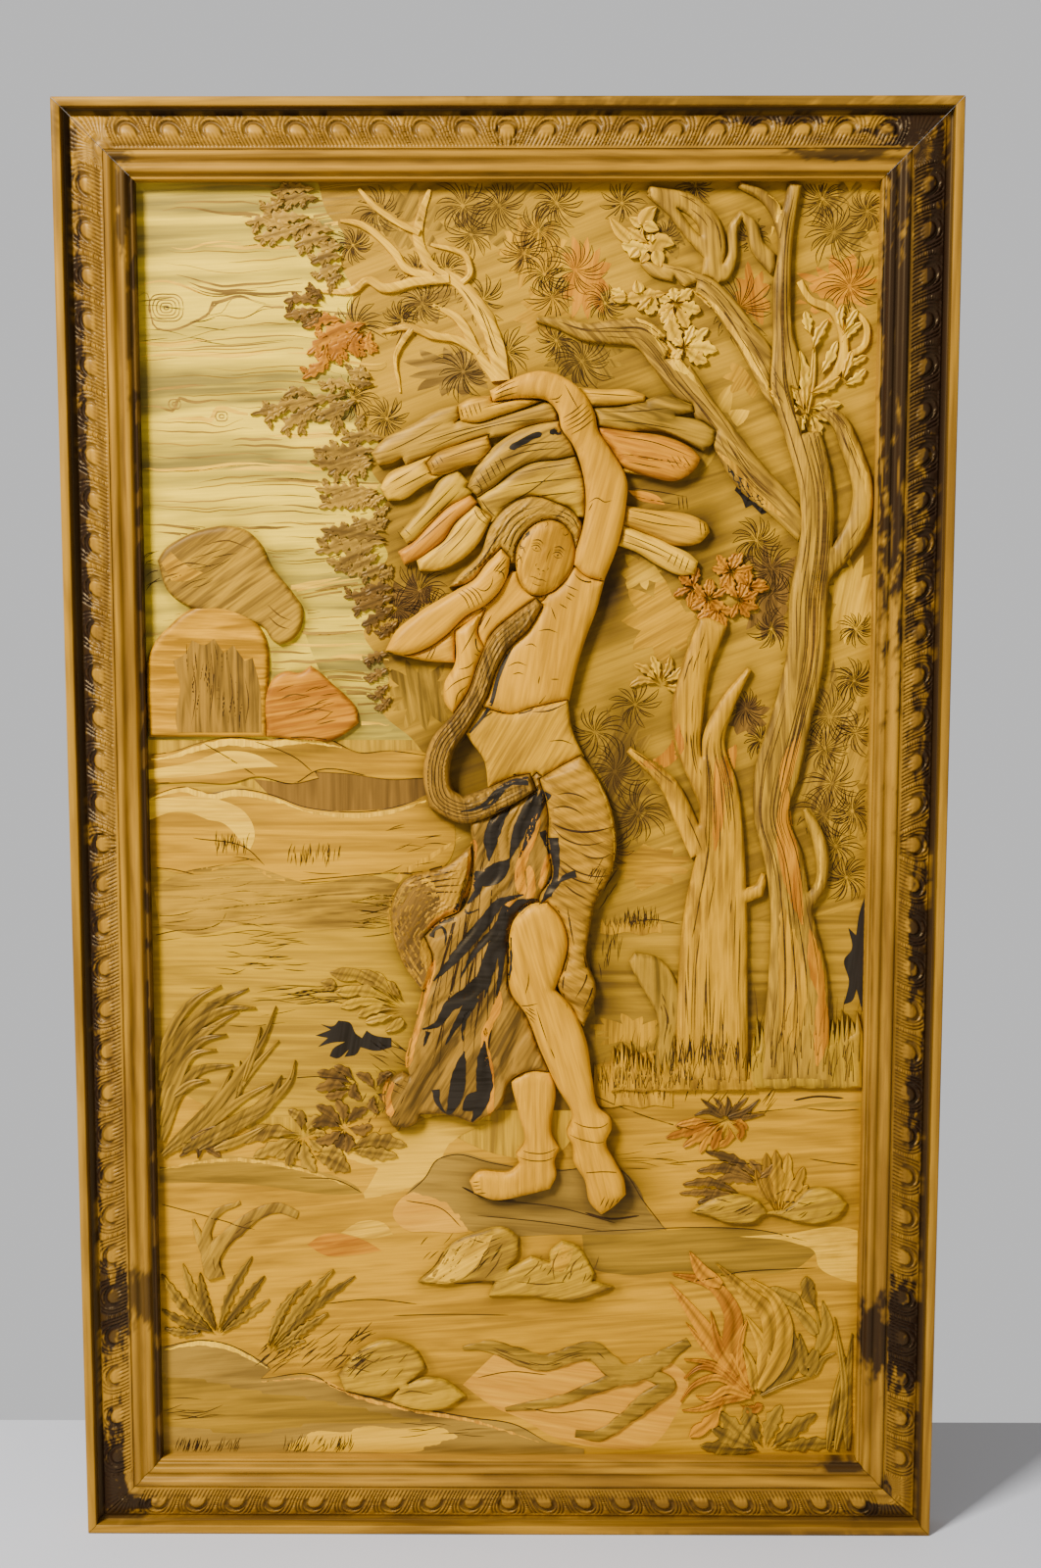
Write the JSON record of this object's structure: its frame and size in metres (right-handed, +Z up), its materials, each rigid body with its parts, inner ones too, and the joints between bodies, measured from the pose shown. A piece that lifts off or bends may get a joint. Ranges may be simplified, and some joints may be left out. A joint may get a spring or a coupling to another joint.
{
  "type": "carved wall panel",
  "caption": "Tall framed wooden wall panel, carved in relief and inlaid: a wood gatherer with a bundle of sticks under trees by a river.",
  "frame": {"origin": "middle of the top rail's flat back, where the panel hangs on the wall", "axes": "+Y into the wall, +X to the picture's right, +Z up"},
  "size_m": [1.1, 0.05, 1.82],
  "materials": {
    "frame_wood": "satin, dark stained edges",
    "ground_wood": "satin",
    "skin_wood": "satin",
    "orange_wood": "satin",
    "pale_wood": "satin",
    "olive_wood": "satin",
    "bark_wood": "satin"
  },
  "bodies": {
    "root": {"rail_top": "frame_wood", "rail_bottom": "frame_wood", "rail_left": "frame_wood", "rail_right": "frame_wood", "board": "ground_wood", "face": "skin_wood", "raised_arm": "skin_wood", "bent_forearm": "skin_wood", "front_leg": "skin_wood", "back_leg": "skin_wood", "waist": "skin_wood", "chest_right": "skin_wood", "chest_left": "skin_wood", "neck": "skin_wood", "bent_upper_arm": "skin_wood", "drape": "orange_wood", "stick_02": "orange_wood", "stick_03": "orange_wood", "stick_05": "orange_wood", "stick_12": "orange_wood", "stick_13": "orange_wood", "leaf_spray_04": "orange_wood", "foliage_middle": "orange_wood", "boulders": "orange_wood", "stick_07": "pale_wood", "stick_10": "pale_wood", "stick_14": "pale_wood", "stick_15": "pale_wood", "leaf_spray_01": "pale_wood", "leaf_spray_02": "pale_wood", "leaf_spray_03": "pale_wood", "light_tree": "pale_wood", "stem_right": "pale_wood", "stones": "pale_wood", "hip_wrap": "olive_wood", "stick_04": "olive_wood", "stick_06": "olive_wood", "stick_08": "olive_wood", "stick_11": "olive_wood", "tree_middle": "olive_wood", "rock_group": "olive_wood", "rocks_low": "olive_wood", "stump": "olive_wood", "plant_right": "olive_wood", "grass_left": "olive_wood", "plant_left": "olive_wood", "fern": "olive_wood", "scarf": "bark_wood", "skirt": "bark_wood", "hair": "bark_wood", "stick_01": "bark_wood", "stick_09": "bark_wood", "tree_tall": "bark_wood", "branch_slanting": "bark_wood", "branch_left": "bark_wood", "branch_upper": "bark_wood", "foliage_upper": "bark_wood", "foliage_lower": "bark_wood", "driftwood": "bark_wood", "dead_branch": "bark_wood"}
  },
  "joints": []
}
